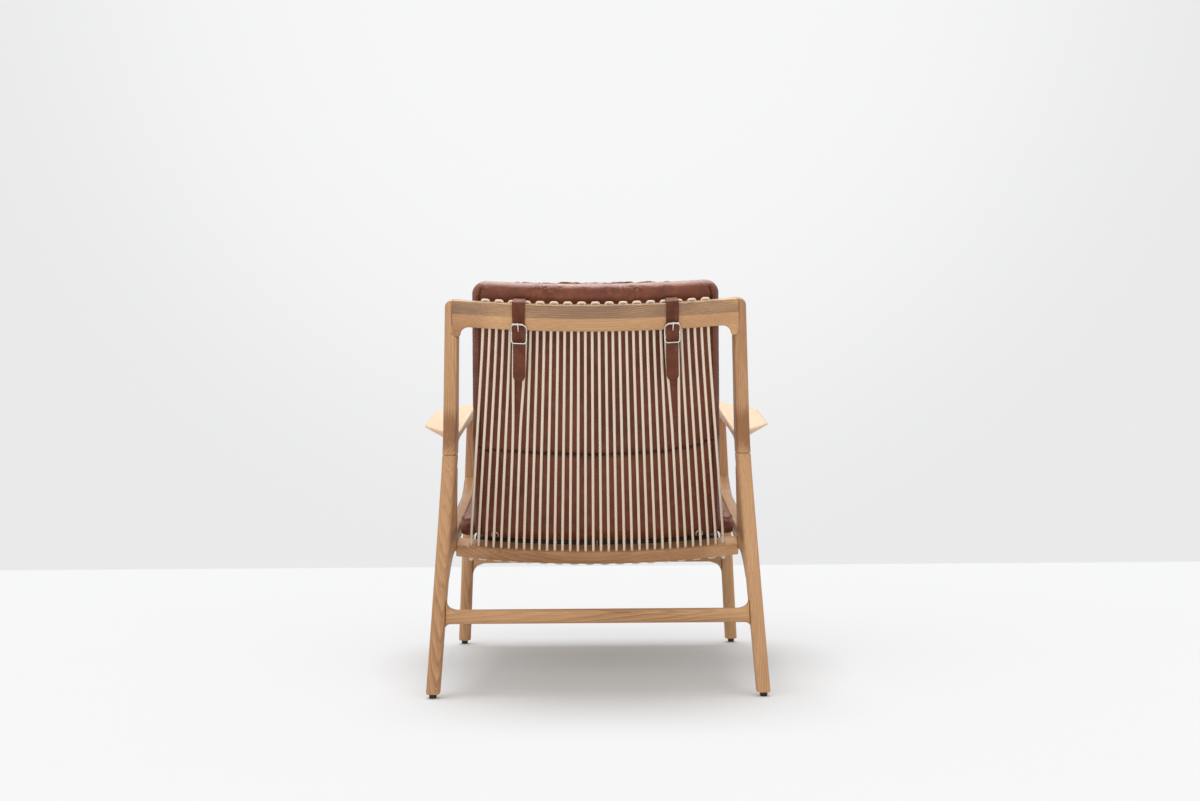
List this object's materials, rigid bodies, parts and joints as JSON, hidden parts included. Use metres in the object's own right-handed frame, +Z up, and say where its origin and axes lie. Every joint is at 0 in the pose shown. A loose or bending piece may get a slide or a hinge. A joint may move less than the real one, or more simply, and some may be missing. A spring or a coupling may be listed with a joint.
{
  "type": "lounge chair",
  "caption": "Oak lounge chair with a bowed back laced with cord, paddle armrests, loose leather seat and back cushions, and buckled straps holding the back cushion.",
  "frame": {"origin": "on the floor under the middle of the chair's outline", "axes": "+Z up, the sitter faces -Y, +X is the sitter's left"},
  "size_m": [0.7694, 0.8128, 0.8287],
  "materials": {
    "oak_leg": "satin",
    "oak_rail": "satin",
    "oak_arm": "satin",
    "leather": "satin",
    "strap_leather": "satin",
    "cord": "matte",
    "webbing": "matte",
    "nickel": "polished",
    "glide": "matte",
    "steel": "satin"
  },
  "bodies": {
    "frame": {"armrest_left": "oak_arm", "armrest_right": "oak_arm", "back_cord": "cord", "back_cushion": "leather", "back_post_left": "oak_leg", "back_post_right": "oak_leg", "buckle_frame_left": "nickel", "buckle_frame_right": "nickel", "buckle_strap_left": "strap_leather", "buckle_strap_right": "strap_leather", "front_leg_left": "oak_leg", "front_leg_right": "oak_leg", "front_seat_rail": "oak_rail", "front_stretcher": "oak_rail", "glide_front_left": "glide", "glide_front_right": "glide", "glide_pin_front_left": "steel", "glide_pin_front_right": "steel", "glide_pin_rear_left": "steel", "glide_pin_rear_right": "steel", "glide_rear_left": "glide", "glide_rear_right": "glide", "lower_back_rail": "oak_rail", "rear_leg_left": "oak_leg", "rear_leg_right": "oak_leg", "rear_stretcher": "oak_rail", "ring_tab_left": "strap_leather", "ring_tab_right": "strap_leather", "seat_webbing_1": "webbing", "seat_webbing_2": "webbing", "seat_webbing_3": "webbing", "seat_webbing_4": "webbing", "seat_webbing_5": "webbing", "seat_webbing_6": "webbing", "side_rail_left": "oak_rail", "side_rail_right": "oak_rail", "strap_left": "strap_leather", "strap_right": "strap_leather", "top_rail": "oak_rail"},
    "seat_cushion": {"seat_cushion": "leather"},
    "prong_left": {"buckle_prong_left": "nickel"},
    "ring_left": {"ring_left": "nickel"},
    "prong_right": {"buckle_prong_right": "nickel"},
    "ring_right": {"ring_right": "nickel"}
  },
  "joints": [
    {"name": "seat_cushion_lift", "type": "slide", "parent": "frame", "child": "seat_cushion", "axis": [0, 0, 1], "range_m": [0, 0.06]},
    {"name": "prong_left_swing", "type": "hinge", "parent": "frame", "child": "prong_left", "pos_m": [0.15049, 0.37545, 0.71443], "axis": [-0.9904, 0.1279, -0.053], "range_deg": [0, 62]},
    {"name": "ring_left_tip", "type": "hinge", "parent": "frame", "child": "ring_left", "pos_m": [0.21306, 0.17097, 0.30014], "axis": [0.9828, -0.1704, 0.0706], "range_deg": [-14, 14]},
    {"name": "prong_right_swing", "type": "hinge", "parent": "frame", "child": "prong_right", "pos_m": [-0.15049, 0.37545, 0.71443], "axis": [-0.9904, -0.1279, 0.053], "range_deg": [0, 62]},
    {"name": "ring_right_tip", "type": "hinge", "parent": "frame", "child": "ring_right", "pos_m": [-0.21306, 0.17097, 0.30014], "axis": [0.9828, 0.1704, -0.0706], "range_deg": [-14, 14]}
  ]
}
